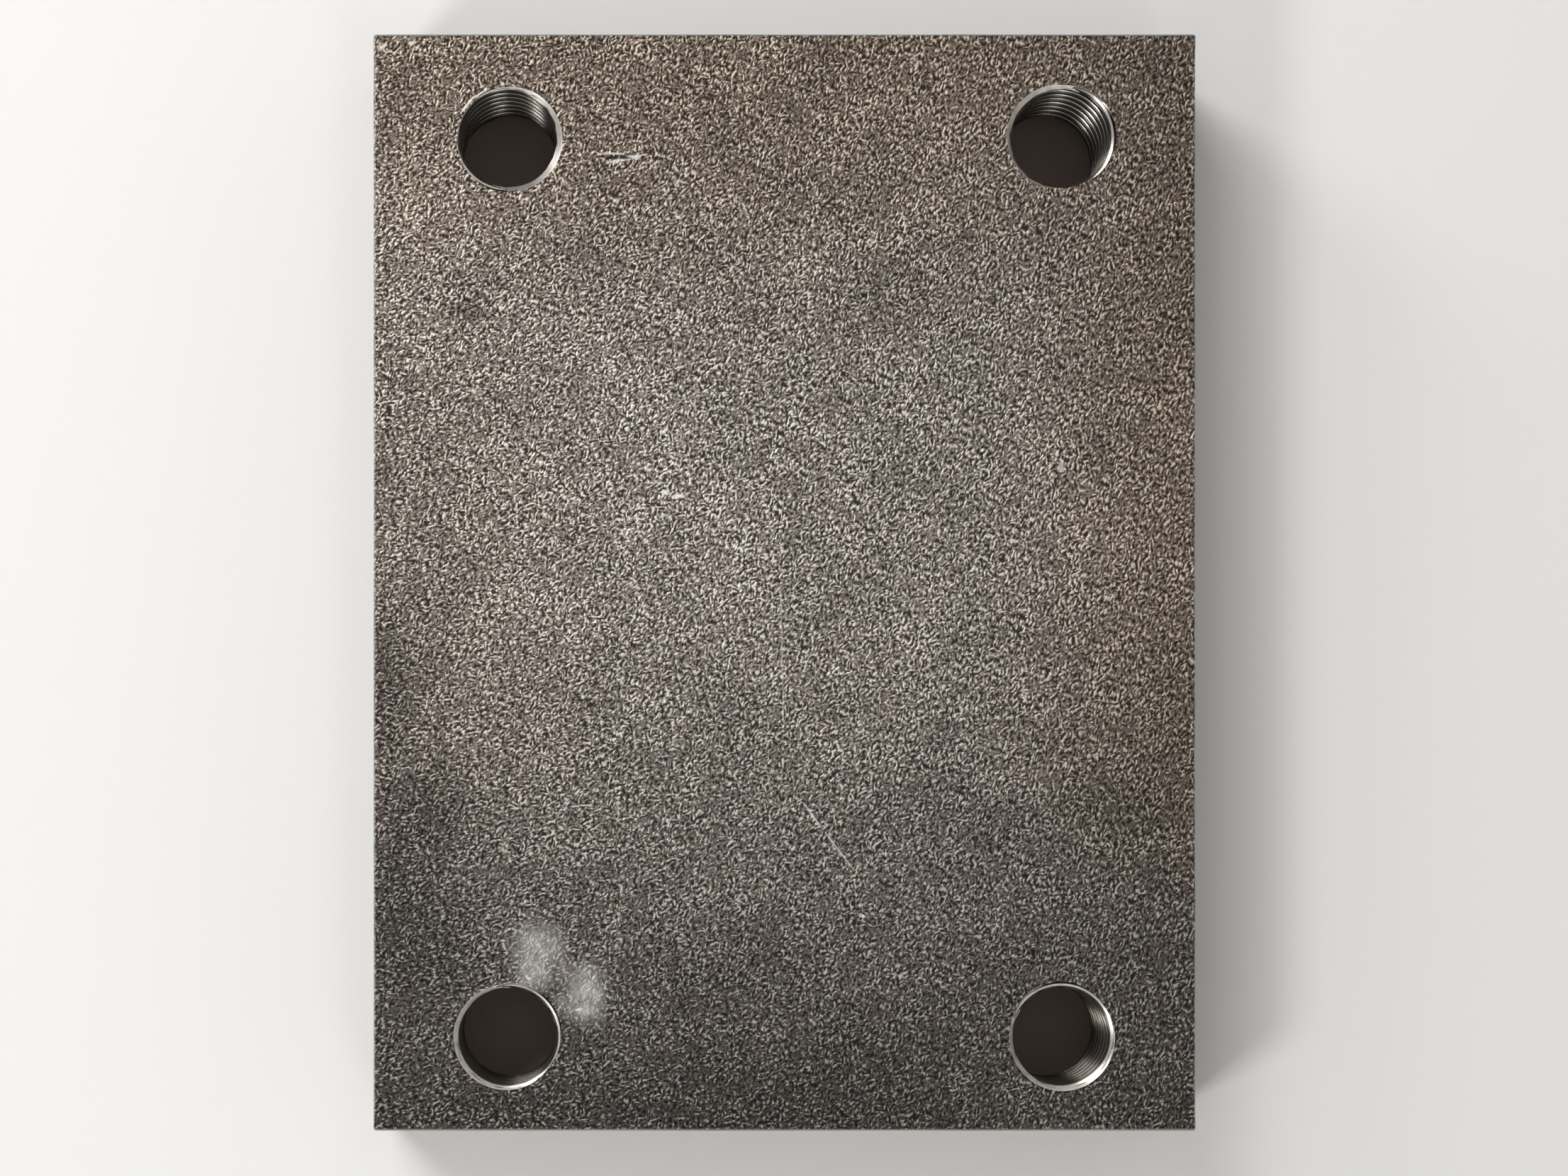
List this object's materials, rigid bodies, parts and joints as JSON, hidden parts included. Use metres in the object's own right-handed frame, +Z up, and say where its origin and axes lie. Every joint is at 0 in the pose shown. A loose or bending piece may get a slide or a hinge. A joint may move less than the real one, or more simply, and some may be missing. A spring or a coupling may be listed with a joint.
{
  "type": "tapped steel plate",
  "caption": "Thick rectangular mill-finish steel plate with a tapped through hole near each corner, lying flat.",
  "frame": {"origin": "middle of the plate's underside", "axes": "+Z up through the thickness, +Y along the length, +X across the width"},
  "size_m": [0.15, 0.2, 0.025],
  "materials": {
    "mill_steel": "satin"
  },
  "bodies": {
    "root": {"steel_plate": "mill_steel"}
  },
  "joints": []
}
